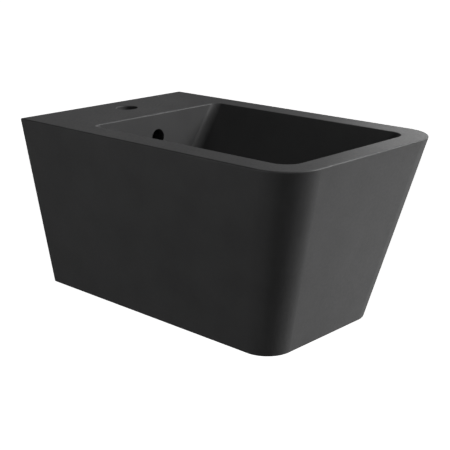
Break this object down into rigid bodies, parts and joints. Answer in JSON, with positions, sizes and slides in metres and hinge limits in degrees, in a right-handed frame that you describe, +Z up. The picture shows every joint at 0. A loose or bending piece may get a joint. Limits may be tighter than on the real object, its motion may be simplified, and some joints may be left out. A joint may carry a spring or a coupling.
{
  "type": "wall-hung bidet",
  "caption": "Wall-hung bidet: tapered matt black ceramic body with flat rim, tap deck, deep bowl and overflow, with push-plug waste, bottle trap and wall studs.",
  "frame": {"origin": "on the wall plane, midway between the two fixing studs", "axes": "+Z up, +Y into the wall along the studs, +X to the right seen from the front"},
  "size_m": [0.3492, 0.6194, 0.285],
  "materials": {
    "matt_black_glaze": "matt black fired glaze",
    "chrome": "polished chrome plate",
    "brass": "turned bare brass",
    "rubber": "black moulded rubber",
    "white_plastic": "white moulded plastic",
    "zinc_steel": "zinc-plated steel",
    "spring_steel": "bright spring wire"
  },
  "bodies": {
    "bidet": {"ceramic_body": "matt_black_glaze", "waste_body": "chrome", "trap_coupling_nut": "chrome", "trap_body": "chrome", "trap_cup": "chrome", "trap_dip_tube": "chrome", "outlet_nut": "chrome", "outlet_pipe": "chrome", "waste_backnut": "brass", "cartridge_sleeve": "brass", "flange_gasket": "rubber", "cone_gasket": "rubber", "trap_inlet_washer": "rubber", "trap_neck_seal": "rubber", "trap_cup_seal": "rubber", "outlet_cone_seal": "rubber", "stud_rubber_washers": "rubber", "slip_washer": "white_plastic", "stud_sleeves": "white_plastic", "wall_studs": "zinc_steel", "stud_steel_washers": "zinc_steel", "stud_nuts": "zinc_steel", "plunger_spring": "spring_steel"},
    "plug": {"waste_plug": "chrome", "plug_seal": "rubber", "plunger": "brass"}
  },
  "joints": [
    {"name": "plug_slide", "type": "slide", "parent": "bidet", "child": "plug", "axis": [0, 0, 1], "range_m": [0, 0.009], "deforming": ["plunger_spring"]}
  ]
}
